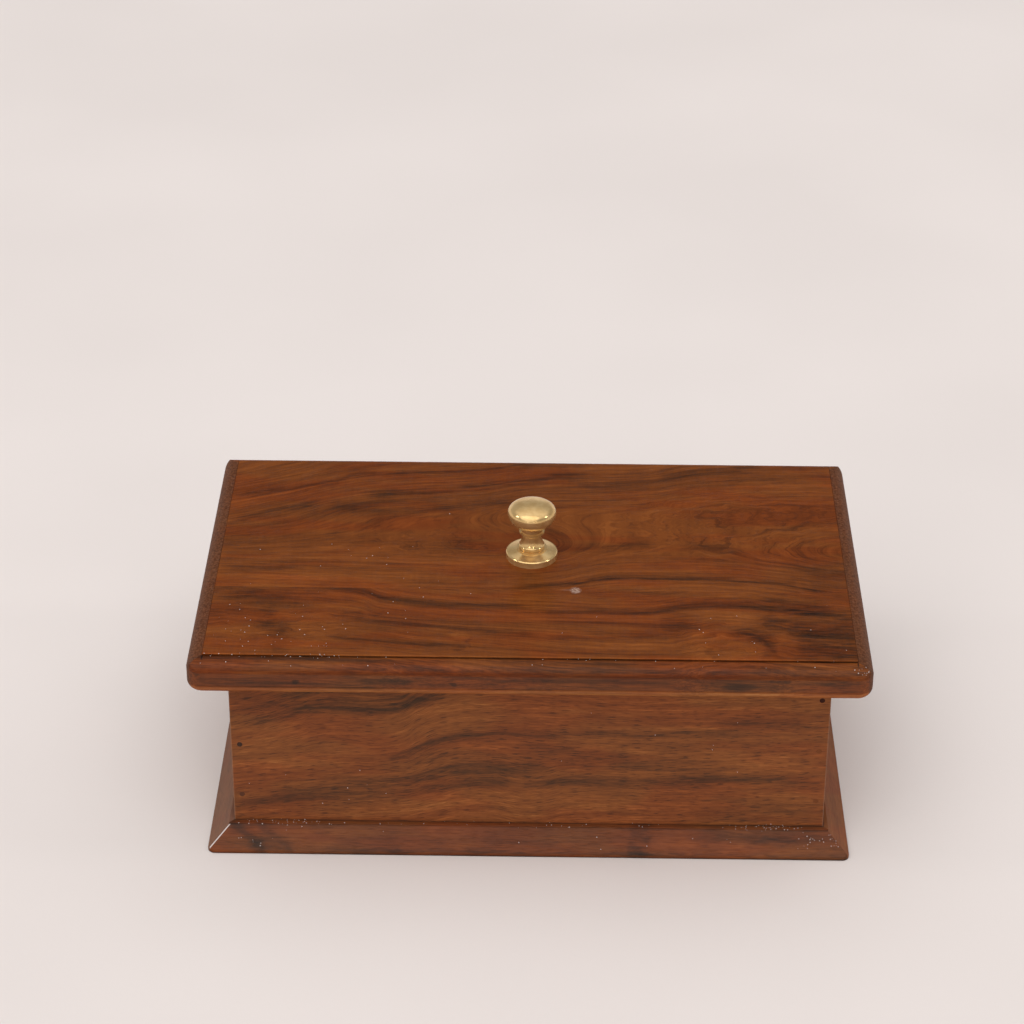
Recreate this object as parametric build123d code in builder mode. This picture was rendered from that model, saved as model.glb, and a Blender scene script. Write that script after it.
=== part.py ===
"""A small wooden paint box with a lift-off lid and a turned brass knob.

Millimetres. The origin is on the table, under the middle of the box: +X runs along the front to the right,
+Y goes to the back and +Z up. The front board faces -Y.
"""

import os
from math import cos, radians, sin, tan

from build123d import *

# ---------------------------------------------------------------- body
body_length = 271.4
body_depth = 156.4
wall_height = 90.4
wall_thickness = 8.0
arris_radius = 0.6  # eased upright corners of the body
rebate_depth = 4.0  # how far the side walls seat into the front and back walls

panel_thickness = 4.0
panel_lift = 5.0  # underside of the bottom panel above the table
groove_depth = 3.5
panel_clearance = 0.1

# ---------------------------------------------------------------- moulding round the foot
plinth_height = 10.6
plinth_proud = 11.9
plinth_ledge = 2.3  # flat strip beside the wall
plinth_step = 1.0  # small upright step under the ledge
plinth_toe = 1.7  # upright edge above the table
plinth_toe_round = 1.2
plinth_corner_radius = 3.5

# ---------------------------------------------------------------- lid
lid_overhang = 16.8
lid_thickness = 17.0
front_board_width = 64.6  # from the lid's front edge back to the glue line
quirk_inset = 7.2
quirk_step = 0.8
roll_drop = 5.1
lid_under_round = 4.8
lid_corner_extra = 2.2  # corner radius beyond that of the rounded lower edge

strip_height = 6.0
strip_thickness = 6.0
strip_chamfer = 1.0
lid_clearance = 0.8  # between the strips and the walls, on each side

# ---------------------------------------------------------------- dividers inside
divider_thickness = 5.0
divider_height = 58.0
housing_depth = 2.5
housing_clearance = 0.1
brush_bay_depth = 42.0
paint_bay_count = 4
divider_top_round = 1.0

# ---------------------------------------------------------------- brads
brad_diameter = 1.4
brad_length = 18.0
brad_head_diameter = 2.4
brad_head_height = 0.8
brad_clearance = 0.05
wall_pin_sink = 0.9  # depth of the filler over a wall pin
wall_pin_pitch = 27.6
wall_pin_rows = 3
wall_pin_middle = 52.4
strip_pins_long = 3
strip_pins_short = 2
strip_pin_end_gap = 22.0

# ---------------------------------------------------------------- knob, rose and screw
rose_diameter = 24.0
rose_rim_height = 3.1
rose_rim_ease = 0.4
rose_rise = 1.1
ring_diameter = 14.0
ring_height = 0.7
rose_bore = 4.6

foot_diameter = 12.0
foot_height = 1.9
stem_diameter = 9.6
stem_height = 6.1
collar_diameter = 11.8
collar_height = 1.0
neck_diameter = 10.4
neck_height = 2.0
head_diameter = 22.7
head_belly_radius = 7.0
head_belly_turn = 60.0  # degrees of the belly's arc, below the widest line
head_shoulder_radius = 1.9
head_crown_height = 4.8  # top of the knob above its widest line

screw_diameter = 4.0
screw_length = 25.0
screw_head_diameter = 7.8
screw_head_height = 2.2
slot_width = 1.1
slot_depth = 1.1
thread_clearance = 0.05
screw_hole = 4.6
washer_diameter = 10.0
washer_thickness = 0.8
washer_hole = 4.3
counterbore_diameter = 11.0
counterbore_depth = 3.6
bore_spare = 1.0  # knob bore beyond the screw's tip

# ---------------------------------------------------------------- sizes that follow
inner_length = body_length - 2 * wall_thickness
inner_depth = body_depth - 2 * wall_thickness
side_wall_length = inner_depth + 2 * rebate_depth
panel_top = panel_lift + panel_thickness
panel_length = inner_length + 2 * (groove_depth - panel_clearance)
panel_depth = inner_depth + 2 * (groove_depth - panel_clearance)
lid_length = body_length + 2 * lid_overhang
lid_depth = body_depth + 2 * lid_overhang
lid_top = wall_height + lid_thickness
lid_corner_radius = lid_under_round + lid_corner_extra
seam_y = front_board_width - lid_depth / 2
long_divider_y = brush_bay_depth - inner_depth / 2 + divider_thickness / 2
paint_bay_depth = inner_depth / 2 - long_divider_y - divider_thickness / 2
paint_bay_width = (inner_length - (paint_bay_count - 1) * divider_thickness) / paint_bay_count
cross_divider_pitch = paint_bay_width + divider_thickness
rose_height = rose_rim_height + rose_rise + ring_height
washer_seat = wall_height + counterbore_depth
screw_tip = washer_seat - washer_thickness + screw_length
wall_pin_reach = wall_pin_sink + brad_length + brad_clearance

front_face = Plane(origin=(0, -body_depth / 2, 0), x_dir=(1, 0, 0), z_dir=(0, -1, 0))
back_face = Plane(origin=(0, body_depth / 2, 0), x_dir=(-1, 0, 0), z_dir=(0, 1, 0))
lid_underside = Plane(origin=(0, 0, wall_height), x_dir=(1, 0, 0), z_dir=(0, 0, -1))


# ---------------------------------------------------------------- shared shapes
def wall_pin_discs(face, diameter):
    """Discs on a long wall's outer face, one for each brad, centred on the side walls' thickness."""
    with BuildSketch(face) as discs:
        with Locations((0, wall_pin_middle)):
            with GridLocations(body_length - wall_thickness, wall_pin_pitch, 2, wall_pin_rows):
                Circle(diameter / 2)
    return discs.sketch


def strip_pin_discs(diameter):
    """Discs on the strips' lower faces, along the middle of all four strips."""
    long_pitch = (inner_length - 2 * strip_pin_end_gap) / (strip_pins_long - 1)
    short_pitch = (inner_depth - 4 * strip_pin_end_gap) / (strip_pins_short - 1)
    across = 2 * lid_clearance + strip_thickness
    with BuildSketch(lid_underside.offset(strip_height)) as discs:
        with GridLocations(long_pitch, inner_depth - across, strip_pins_long, 2):
            Circle(diameter / 2)
        with GridLocations(inner_length - across, short_pitch, 2, strip_pins_short):
            Circle(diameter / 2)
    return discs.sketch


def housing(centre_x, centre_y, size_x, size_y):
    """Outline of a stopped housing for a divider's end, seen from above, at the panel's top."""
    with BuildSketch(Plane.XY.offset(panel_top)) as outline:
        with Locations((centre_x, centre_y)):
            Rectangle(size_x, size_y)
    return outline.sketch


def long_wall(face):
    """A front or back wall: rebated ends, a groove for the panel, and holes for the brads."""
    with BuildPart() as wall:
        with BuildSketch(face) as board:
            with Locations((0, wall_height / 2)):
                Rectangle(body_length, wall_height)
        extrude(amount=-wall_thickness)
        fillet(wall.faces().sort_by(Axis(face.origin, face.z_dir))[-1].edges().filter_by(Axis.Z), arris_radius)
        with BuildSketch(face.offset(-wall_thickness)) as rebates:
            with Locations((0, wall_height / 2)):
                with GridLocations(body_length - wall_thickness, 0, 2, 1):
                    Rectangle(wall_thickness, wall_height)
        extrude(amount=rebate_depth, mode=Mode.SUBTRACT)
        with BuildSketch(face.offset(-wall_thickness)) as groove:
            with Locations((0, panel_lift + panel_thickness / 2)):
                Rectangle(inner_length + 2 * groove_depth, panel_thickness + 2 * panel_clearance)
        extrude(amount=groove_depth, mode=Mode.SUBTRACT)
        shank_hole = brad_diameter + 2 * brad_clearance
        head_hole = brad_head_diameter + 2 * brad_clearance
        extrude(wall_pin_discs(face, shank_hole), amount=-wall_thickness, mode=Mode.SUBTRACT)
        extrude(wall_pin_discs(face, head_hole), amount=-wall_pin_sink - brad_head_height, mode=Mode.SUBTRACT)
    return wall


def side_wall(side):
    """A left (-1) or right (+1) wall: seats in the rebates, with a panel groove and a divider housing."""
    centre_x = side * (inner_length + wall_thickness) / 2
    inner_face_x = side * inner_length / 2
    with BuildPart() as wall:
        with BuildSketch() as footprint:
            with Locations((centre_x, 0)):
                Rectangle(wall_thickness, side_wall_length)
        extrude(amount=wall_height)
        with BuildSketch(Plane.XY.offset(panel_lift - panel_clearance)) as groove:
            with Locations((inner_face_x, 0)):
                Rectangle(2 * groove_depth, side_wall_length)
        extrude(amount=panel_thickness + 2 * panel_clearance, mode=Mode.SUBTRACT)
        slot = housing(
            inner_face_x, long_divider_y, 2 * housing_depth, divider_thickness + 2 * housing_clearance
        )
        extrude(slot, amount=divider_height + housing_clearance, mode=Mode.SUBTRACT)
        for face in (front_face, back_face):
            shank_hole = brad_diameter + 2 * brad_clearance
            extrude(wall_pin_discs(face, shank_hole), amount=-wall_pin_reach, mode=Mode.SUBTRACT)
    return wall


def plinth_strip(outward, run):
    """One length of the moulding, lying outside the wall face that looks along outward, mitred at both ends."""
    reach = body_depth / 2 if outward.X == 0 else body_length / 2
    foot = outward * reach
    along = outward.cross(Vector(0, 0, 1))
    with BuildPart() as strip:
        with BuildSketch(Plane(origin=foot, x_dir=outward, z_dir=along)) as section:
            with BuildLine() as outline:
                Polyline(
                    (0, 0),
                    (plinth_proud, 0),
                    (plinth_proud, plinth_toe),
                    (plinth_ledge, plinth_height - plinth_step),
                    (plinth_ledge, plinth_height),
                    (0, plinth_height),
                    close=True,
                )
            make_face()
            toe = section.vertices().group_by(Axis.X)[-1].sort_by(Axis.Y)[-1]
            fillet(toe, plinth_toe_round)
        extrude(amount=run / 2 + plinth_proud, both=True)
        for end in (-1, 1):
            corner = foot + along * (end * run / 2)
            split(bisect_by=Plane(origin=corner, z_dir=outward - along * end), keep=Keep.TOP)
        with BuildSketch() as rounded_corners:
            RectangleRounded(
                body_length + 2 * plinth_proud, body_depth + 2 * plinth_proud, plinth_corner_radius
            )
        extrude(amount=plinth_height, mode=Mode.INTERSECT)
    return strip


def lid_edge_section(plane, width):
    """The lid seen along one of its edges: flat field, quirk, convex roll, upright face."""
    roll_top = lid_top - quirk_step
    face_top = roll_top - roll_drop
    half = width / 2
    field = half - quirk_inset
    with BuildSketch(plane) as section:
        with BuildLine() as outline:
            Polyline((-half, face_top), (-half, wall_height), (half, wall_height), (half, face_top))
            EllipticalCenterArc((field, face_top), quirk_inset, roll_drop, start_angle=0, arc_size=90)
            Polyline((field, roll_top), (field, lid_top), (-field, lid_top), (-field, roll_top))
            EllipticalCenterArc((-field, face_top), quirk_inset, roll_drop, start_angle=90, arc_size=90)
        make_face()
    return section.sketch


def lid_blank():
    """The whole lid before it is cut along the glue line: moulded on four sides, rounded underneath."""
    with BuildPart() as blank:
        with BuildSketch(Plane.XY.offset(wall_height)) as plan:
            RectangleRounded(lid_length, lid_depth, lid_corner_radius)
        extrude(amount=lid_thickness)
        fillet(blank.faces().sort_by(Axis.Z)[0].edges(), lid_under_round)
        extrude(lid_edge_section(Plane.XZ, lid_length), amount=lid_depth, both=True, mode=Mode.INTERSECT)
        extrude(lid_edge_section(Plane.YZ, lid_depth), amount=lid_length, both=True, mode=Mode.INTERSECT)
        shank_hole = brad_diameter + 2 * brad_clearance
        extrude(strip_pin_discs(shank_hole), amount=-brad_length - brad_clearance, mode=Mode.SUBTRACT)
        with Locations(lid_underside):
            CounterBoreHole(screw_hole / 2, counterbore_diameter / 2, counterbore_depth, lid_thickness)
    return blank.part


def lid_strip(centre_x, centre_y, size_x, size_y):
    """One of the strips under the lid, its lower outside edges chamfered to lead it into the box."""
    with BuildPart() as strip:
        with BuildSketch(lid_underside) as footprint:
            with Locations((centre_x, -centre_y)):
                Rectangle(size_x, size_y)
        extrude(amount=strip_height)
        lower_edges = strip.faces().sort_by(Axis.Z)[0].edges()
        long_axis = Axis.X if size_x > size_y else Axis.Y
        away = Axis.Y if size_x > size_y else Axis.X
        outer = 0 if centre_x + centre_y < 0 else -1
        chamfer(lower_edges.filter_by(long_axis).sort_by(away)[outer], strip_chamfer)
        shank_hole = brad_diameter + 2 * brad_clearance
        extrude(strip_pin_discs(shank_hole), amount=-strip_height, mode=Mode.SUBTRACT)
    return strip


# ---------------------------------------------------------------- walls and bottom
front_wall = long_wall(face=front_face)
left_wall = side_wall(side=-1)
right_wall = side_wall(side=1)

with BuildPart() as back_wall:
    add(long_wall(face=back_face).part)
    for index in range(paint_bay_count - 1):
        divider_x = (index - (paint_bay_count - 2) / 2) * cross_divider_pitch
        slot = housing(
            divider_x, inner_depth / 2, divider_thickness + 2 * housing_clearance, 2 * housing_depth
        )
        extrude(slot, amount=divider_height + housing_clearance, mode=Mode.SUBTRACT)

with BuildPart() as bottom_panel:
    with BuildSketch(Plane.XY.offset(panel_lift)) as outline:
        Rectangle(panel_length, panel_depth)
    extrude(amount=panel_thickness)

# ---------------------------------------------------------------- moulding round the foot
plinth_front = plinth_strip(outward=Vector(0, -1, 0), run=body_length)
plinth_back = plinth_strip(outward=Vector(0, 1, 0), run=body_length)
plinth_left = plinth_strip(outward=Vector(-1, 0, 0), run=body_depth)
plinth_right = plinth_strip(outward=Vector(1, 0, 0), run=body_depth)

# ---------------------------------------------------------------- wall brads and their filler
with BuildPart() as wall_pins:
    for face in (front_face, back_face):
        sunk = face.offset(-wall_pin_sink)
        extrude(wall_pin_discs(sunk, brad_diameter), amount=-brad_length)
        extrude(wall_pin_discs(sunk, brad_head_diameter), amount=-brad_head_height)

with BuildPart() as pin_fillers:
    for face in (front_face, back_face):
        filler_diameter = brad_head_diameter + 2 * brad_clearance
        extrude(wall_pin_discs(face, filler_diameter), amount=-wall_pin_sink)

# ---------------------------------------------------------------- dividers
with BuildPart() as long_divider:
    with BuildSketch(Plane.XY.offset(panel_top)) as outline:
        with Locations((0, long_divider_y)):
            Rectangle(inner_length + 2 * (housing_depth - housing_clearance), divider_thickness)
    extrude(amount=divider_height)
    fillet(long_divider.faces().sort_by(Axis.Z)[-1].edges().filter_by(Axis.X), divider_top_round)
    for index in range(paint_bay_count - 1):
        divider_x = (index - (paint_bay_count - 2) / 2) * cross_divider_pitch
        rear_face_y = long_divider_y + divider_thickness / 2
        slot = housing(divider_x, rear_face_y, divider_thickness + 2 * housing_clearance, 2 * housing_depth)
        extrude(slot, amount=divider_height, mode=Mode.SUBTRACT)

cross_dividers = {}
for index in range(paint_bay_count - 1):
    with BuildPart() as cross_divider:
        with BuildSketch(Plane.XY.offset(panel_top)) as outline:
            divider_x = (index - (paint_bay_count - 2) / 2) * cross_divider_pitch
            with Locations((divider_x, (inner_depth - paint_bay_depth) / 2)):
                Rectangle(divider_thickness, paint_bay_depth + 2 * (housing_depth - housing_clearance))
        extrude(amount=divider_height)
        top_edges = cross_divider.faces().sort_by(Axis.Z)[-1].edges().filter_by(Axis.Y)
        fillet(top_edges, divider_top_round)
    cross_dividers[f"cross_divider_{index + 1}"] = cross_divider

# ---------------------------------------------------------------- lid
whole_lid = lid_blank()

with BuildPart() as lid_board_front:
    add(whole_lid)
    split(bisect_by=Plane(origin=(0, seam_y, 0), z_dir=(0, -1, 0)), keep=Keep.TOP)

with BuildPart() as lid_board_back:
    add(whole_lid)
    split(bisect_by=Plane(origin=(0, seam_y, 0), z_dir=(0, 1, 0)), keep=Keep.TOP)

strip_span_x = inner_length - 2 * lid_clearance
strip_span_y = inner_depth - 2 * lid_clearance
strip_y = (strip_span_y - strip_thickness) / 2
strip_x = (strip_span_x - strip_thickness) / 2
lid_strip_front = lid_strip(0, -strip_y, strip_span_x, strip_thickness)
lid_strip_back = lid_strip(0, strip_y, strip_span_x, strip_thickness)
lid_strip_left = lid_strip(-strip_x, 0, strip_thickness, strip_span_y - 2 * strip_thickness)
lid_strip_right = lid_strip(strip_x, 0, strip_thickness, strip_span_y - 2 * strip_thickness)

with BuildPart() as strip_pins:  # headless, driven flush
    extrude(strip_pin_discs(brad_diameter), amount=-brad_length)

# ---------------------------------------------------------------- rose, knob, screw and washer
with BuildPart() as knob_rose:
    with BuildSketch(Plane.XZ) as section:
        with BuildLine() as outline:
            rim = rose_diameter / 2
            ring = ring_diameter / 2
            slope_top = lid_top + rose_rim_height + rose_rise
            Polyline(
                (rose_bore / 2, lid_top + rose_height),
                (rose_bore / 2, lid_top),
                (rim, lid_top),
                (rim, lid_top + rose_rim_height - rose_rim_ease),
                (rim - rose_rim_ease, lid_top + rose_rim_height),
                (rim - 2 * rose_rim_ease, lid_top + rose_rim_height),
                (ring, slope_top),
                (ring, slope_top + ring_height),
                close=True,
            )
        make_face()
    revolve(axis=Axis.Z)

with BuildPart() as knob:
    with BuildSketch(Plane.XZ) as section:
        with BuildLine() as outline:
            knob_base = lid_top + rose_height
            stem_base = knob_base + foot_height
            collar_base = stem_base + stem_height
            neck_base = collar_base + collar_height
            neck_top = neck_base + neck_height
            foot = foot_diameter / 2
            stem = stem_diameter / 2
            collar = collar_diameter / 2
            neck = neck_diameter / 2
            head = head_diameter / 2
            belly = radians(head_belly_turn)
            under_run = head - head_belly_radius * (1 - cos(belly)) - neck
            head_centre = neck_top + under_run / tan(belly) + head_belly_radius * sin(belly)
            head_top = head_centre + head_crown_height
            shoulder_centre = head - head_shoulder_radius
            crown_radius = (shoulder_centre**2 + head_crown_height**2 - head_shoulder_radius**2) / (
                2 * (head_crown_height - head_shoulder_radius)
            )
            ease = collar_height / 4
            Polyline(
                (0, head_top),
                (0, knob_base),
                (foot - ease, knob_base),
                (foot, knob_base + ease),
                (foot, stem_base - ease),
                (foot - ease, stem_base),
            )
            ThreePointArc(
                (foot - ease, stem_base), (stem, stem_base + stem_height / 2), (stem + ease, collar_base)
            )
            Polyline(
                (stem + ease, collar_base),
                (collar, collar_base + ease),
                (collar, neck_base - ease),
                (neck, neck_base),
                (neck, neck_top),
            )
            belly_end = (neck + under_run, neck_top + under_run / tan(belly))
            Line((neck, neck_top), belly_end)
            TangentArc((head, head_centre), belly_end, tangent=(0, -1))
            reach = crown_radius / (crown_radius - head_shoulder_radius)
            crown_end = (
                shoulder_centre * reach,
                head_top - crown_radius + (crown_radius - head_crown_height) * reach,
            )
            TangentArc((head, head_centre), crown_end, tangent=(0, 1))
            TangentArc((0, head_top), crown_end, tangent=(1, 0))
        make_face()
    revolve(axis=Axis.Z)
    with BuildSketch(Plane.XY.offset(knob_base)) as bore:
        Circle(screw_diameter / 2 + thread_clearance)
    extrude(amount=screw_tip + bore_spare - knob_base, mode=Mode.SUBTRACT)

with BuildPart() as knob_washer:
    with BuildSketch(Plane.XY.offset(washer_seat - washer_thickness)) as ring_outline:
        Circle(washer_diameter / 2)
        Circle(washer_hole / 2, mode=Mode.SUBTRACT)
    extrude(amount=washer_thickness)

with BuildPart() as knob_screw:
    under_head = washer_seat - washer_thickness
    with BuildSketch(Plane.XY.offset(under_head)) as shank:
        Circle(screw_diameter / 2)
    extrude(amount=screw_length)
    with BuildSketch(Plane.XY.offset(under_head - screw_head_height)) as head_outline:
        Circle(screw_head_diameter / 2)
    extrude(amount=screw_head_height)
    with BuildSketch(Plane.XY.offset(under_head - screw_head_height)) as slot_outline:
        Rectangle(screw_head_diameter, slot_width)
    extrude(amount=slot_depth, mode=Mode.SUBTRACT)

# ---------------------------------------------------------------- export
pieces = {
    "front_wall": front_wall,
    "back_wall": back_wall,
    "left_wall": left_wall,
    "right_wall": right_wall,
    "bottom_panel": bottom_panel,
    "plinth_front": plinth_front,
    "plinth_back": plinth_back,
    "plinth_left": plinth_left,
    "plinth_right": plinth_right,
    "wall_pins": wall_pins,
    "pin_fillers": pin_fillers,
    "long_divider": long_divider,
    **cross_dividers,
    "lid_board_front": lid_board_front,
    "lid_board_back": lid_board_back,
    "lid_strip_front": lid_strip_front,
    "lid_strip_back": lid_strip_back,
    "lid_strip_left": lid_strip_left,
    "lid_strip_right": lid_strip_right,
    "strip_pins": strip_pins,
    "knob": knob,
    "knob_rose": knob_rose,
    "knob_screw": knob_screw,
    "knob_washer": knob_washer,
}

os.makedirs("parts", exist_ok=True)
for name, piece in pieces.items():
    piece.part.label = name
    export_step(piece.part, f"parts/{name}.step")
    print(name, len(piece.part.solids()), round(piece.part.volume, 1))
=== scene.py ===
# %% [markdown]
# # A varnished paint box, dressed for the camera
#
# The wooden parts, the knob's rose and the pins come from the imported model. This script turns the knob again
# with a truer outline and gives every piece its look: streaky varnished wood, polished brass, a little dust,
# and the light and camera of a small tabletop studio. Everything is in metres in Blender, but wood is easier
# to think about in millimetres, so the materials turn the object's own coordinates into millimetres first.

# %% Load the fixed frame
import math

import bmesh
import bpy
from mathutils import Matrix, Vector


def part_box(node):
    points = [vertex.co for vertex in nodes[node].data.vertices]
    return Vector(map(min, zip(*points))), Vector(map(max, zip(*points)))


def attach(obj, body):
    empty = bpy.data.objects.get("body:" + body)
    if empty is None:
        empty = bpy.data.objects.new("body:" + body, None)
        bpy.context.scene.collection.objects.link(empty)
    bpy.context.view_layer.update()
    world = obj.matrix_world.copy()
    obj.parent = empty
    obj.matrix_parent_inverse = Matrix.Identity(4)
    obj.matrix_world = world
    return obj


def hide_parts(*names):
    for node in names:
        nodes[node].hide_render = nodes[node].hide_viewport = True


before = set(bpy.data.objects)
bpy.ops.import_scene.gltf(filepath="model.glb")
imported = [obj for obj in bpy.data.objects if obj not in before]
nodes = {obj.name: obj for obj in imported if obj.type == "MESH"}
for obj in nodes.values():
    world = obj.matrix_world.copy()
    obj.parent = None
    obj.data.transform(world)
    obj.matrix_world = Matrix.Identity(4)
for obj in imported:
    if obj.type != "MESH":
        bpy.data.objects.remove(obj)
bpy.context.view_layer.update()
MM = 0.001
print("pieces in the frame:", len(nodes))

# %% [markdown]
# ## The camera
#
# The real picture was taken from the front, about 30 degrees above the table, with a long lens. A long
# lens keeps the box's sides nearly parallel. Where the camera stood and how it was turned were worked out
# from the straight edges of the lid and the foot, so they are plain numbers here: place, pitch, yaw and
# roll.

# %% Camera
CAMERA_PLACE = Vector((0.00775, -1.21658, 0.83667))
CAMERA_LENS = 106.59
CAMERA_PITCH = math.radians(30.117)
CAMERA_YAW = math.radians(-0.802)
CAMERA_ROLL = math.radians(-0.232)


def camera_axes(pitch, yaw, roll):
    """Right, up and back directions of a camera that looks along +Y before it is turned."""
    forward = Vector((math.sin(yaw) * math.cos(pitch), math.cos(yaw) * math.cos(pitch), -math.sin(pitch)))
    right = Vector((math.cos(yaw), -math.sin(yaw), 0))
    down = forward.cross(right)
    right_rolled = math.cos(roll) * right + math.sin(roll) * down
    down_rolled = math.cos(roll) * down - math.sin(roll) * right
    return Matrix((right_rolled, -down_rolled, -forward)).transposed()


camera_data = bpy.data.cameras.new("camera")
camera_data.lens = CAMERA_LENS
camera_data.sensor_width = 36
camera_data.clip_end = 50
camera = bpy.data.objects.new("camera", camera_data)
camera.matrix_world = Matrix.Translation(CAMERA_PLACE) @ camera_axes(
    CAMERA_PITCH, CAMERA_YAW, CAMERA_ROLL
).to_4x4()
bpy.context.collection.objects.link(camera)
bpy.context.scene.camera = camera
print("camera looks down by", round(math.degrees(CAMERA_PITCH), 1), "degrees")

# %% [markdown]
# ## Writing materials as arithmetic
#
# A node tree for wood has a few hundred small nodes. Wiring them one by one hides the idea, so a Field
# stands for "a number that changes over the surface", and +, - and * on Fields write the Math nodes. A
# Finish is one material: it offers the object's coordinates in millimetres, noise that is stretched along
# the grain, ramps and the final shader.


# %% Fields and finishes
def srgb(red, green, blue):
    """A colour as a screen shows it, 0 to 255, as the linear colour that sockets take."""
    def linear(value):
        value = value / 255
        return value / 12.92 if value <= 0.04045 else ((value + 0.055) / 1.055) ** 2.4
    return (linear(red), linear(green), linear(blue), 1.0)


class Field:
    """A number that varies over a surface."""

    def __init__(self, finish, socket):
        self.finish = finish
        self.socket = socket

    def __add__(self, other):
        return self.finish.math("ADD", self, other)

    __radd__ = __add__

    def __sub__(self, other):
        return self.finish.math("SUBTRACT", self, other)

    def __rsub__(self, other):
        return self.finish.math("SUBTRACT", other, self)

    def __mul__(self, other):
        return self.finish.math("MULTIPLY", self, other)

    __rmul__ = __mul__

    def __truediv__(self, other):
        return self.finish.math("DIVIDE", self, other)

    def __abs__(self):
        return self.finish.math("ABSOLUTE", self)

    def most(self, other):
        return self.finish.math("MAXIMUM", self, other)

    def rise(self, low, high):
        """0 below low, 1 above high, with a smooth step between. Low above high gives a fall."""
        if low > high:
            return 1 - self.rise(high, low)
        out = self.finish.node("MapRange", self, low, high, 0.0, 1.0, interpolation_type="SMOOTHSTEP")
        return Field(self.finish, out.outputs[0])


class Finish:
    """One material, with the object's coordinates in millimetres to work from."""

    def __init__(self, name):
        self.material = bpy.data.materials.new(name)
        self.material.use_nodes = True
        self.tree = self.material.node_tree
        self.tree.nodes.clear()
        place = self.node("TexCoord").outputs["Object"]
        scaled = self.node("VectorMath", place, (1 / MM, 1 / MM, 1 / MM), operation="MULTIPLY")
        self.place = scaled.outputs[0]
        self.x, self.y, self.z = self.split(self.place)

    def node(self, kind, *inputs, **settings):
        made = self.tree.nodes.new("ShaderNode" + kind)
        for key, value in settings.items():
            setattr(made, key, value)
        for socket, value in zip(made.inputs, inputs):
            self.feed(socket, value)
        return made

    def feed(self, socket, value):
        if isinstance(value, Field):
            value = value.socket
        if isinstance(value, bpy.types.NodeSocket):
            self.tree.links.new(value, socket)
        elif value is not None:
            socket.default_value = value

    def math(self, operation, *values):
        return Field(self, self.node("Math", *values, operation=operation).outputs[0])

    def split(self, vector):
        parts = self.node("SeparateXYZ", vector)
        return [Field(self, out) for out in parts.outputs]

    def join(self, x, y, z):
        return self.node("CombineXYZ", x, y, z).outputs[0]

    def noise(self, size, seed, at=None, detail=2.0):
        """Noise whose lumps are about size = (x, y, z) millimetres long."""
        stretch = tuple(1 / s for s in size)
        shift = (seed * 7.31, seed * 3.17, seed * 5.73)
        vector = self.node("VectorMath", at or self.place, stretch, shift, operation="MULTIPLY_ADD")
        made = self.node("TexNoise", noise_dimensions="3D")
        self.feed(made.inputs["Vector"], vector.outputs[0])
        made.inputs["Scale"].default_value = 1.0
        made.inputs["Detail"].default_value = detail
        return Field(self, made.outputs[0])

    def ramp(self, field, stops):
        made = self.node("ValToRGB", field)
        elements = made.color_ramp.elements
        elements[0].position, elements[0].color = stops[0]
        elements[1].position, elements[1].color = stops[-1]
        for position, colour in stops[1:-1]:
            elements.new(position).color = colour
        return made.outputs[0]

    def mix(self, amount, first, second, how="MIX"):
        made = self.node("Mix", data_type="RGBA", blend_type=how)
        for name, value in (("Factor_Float", amount), ("A_Color", first), ("B_Color", second)):
            socket = next(s for s in made.inputs if s.identifier == name)
            self.feed(socket, value)
        return next(s for s in made.outputs if s.identifier == "Result_Color")

    def shade(self, colour, roughness, height=None, depth=0.0002, **constants):
        """The Principled shader. Constants go straight on its sockets."""
        shader = self.node("BsdfPrincipled")
        self.feed(shader.inputs["Base Color"], colour)
        self.feed(shader.inputs["Roughness"], roughness)
        for name, value in constants.items():
            shader.inputs[name.replace("_", " ")].default_value = value
        if height is not None:
            bump = self.node("Bump")
            bump.inputs["Strength"].default_value = 1.0
            bump.inputs["Distance"].default_value = depth
            self.feed(bump.inputs["Height"], height)
            for name in ("Normal", "Coat Normal"):
                self.feed(shader.inputs[name], bump.outputs[0])
        out = self.node("OutputMaterial")
        self.feed(out.inputs["Surface"], shader.outputs[0])
        return self.material


def wear(material, *names):
    """Puts a material on pieces of the frame."""
    for name in names:
        nodes[name].material_slots[0].material = material


# %% [markdown]
# ## What makes this wood look like itself
#
# The boards are a brown tropical wood: wide soft bands, thinner lines inside them, very fine fibres, and
# open pores that show as short dark dashes. All of it runs along the board. So each layer is the same
# kind of noise, stretched long in the grain's direction, at four widths.
#
# Noise alone gives a board of the right species, not this board. Two things make it this one. First, its
# grain isn't straight: it climbs and dips over hidden knots. A Float Curve node holds that bend, and the
# noise is read at a place that is shifted by it. Second, a few strong dark streaks and clouds are drawn
# where they lie on the real box, in millimetres: a Float Curve carries a streak's path, and the
# distance from it fades the colour. A cloud is an ellipse with a noisy rim. Both are torn along the grain
# by one more noise, or they would look painted on.


# %% Curves and grain
def curve(finish, along, points):
    """A smooth line through points (along, across), as a field of across over along."""
    start, end = points[0][0], points[-1][0]
    low = min(p[1] for p in points)
    high = max(p[1] for p in points) + 1e-3
    made = finish.node("FloatCurve", 1.0, (along - start) / (end - start))
    dots = made.mapping.curves[0].points
    for i, (a, b) in enumerate(points):
        spot = ((a - start) / (end - start), (b - low) / (high - low))
        if i in (0, len(points) - 1):
            dots[0 if i == 0 else -1].location = spot
        else:
            dots.new(*spot)
    made.mapping.update()
    return Field(finish, made.outputs[0]) * (high - low) + low


def bent_grain(finish, along, across, lower, upper, levels):
    """How far the grain is pushed across: the lower curve fades into the upper between two levels."""
    share = across.rise(*levels)
    return curve(finish, along, lower) * (1 - share) + curve(finish, along, upper) * share


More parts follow.
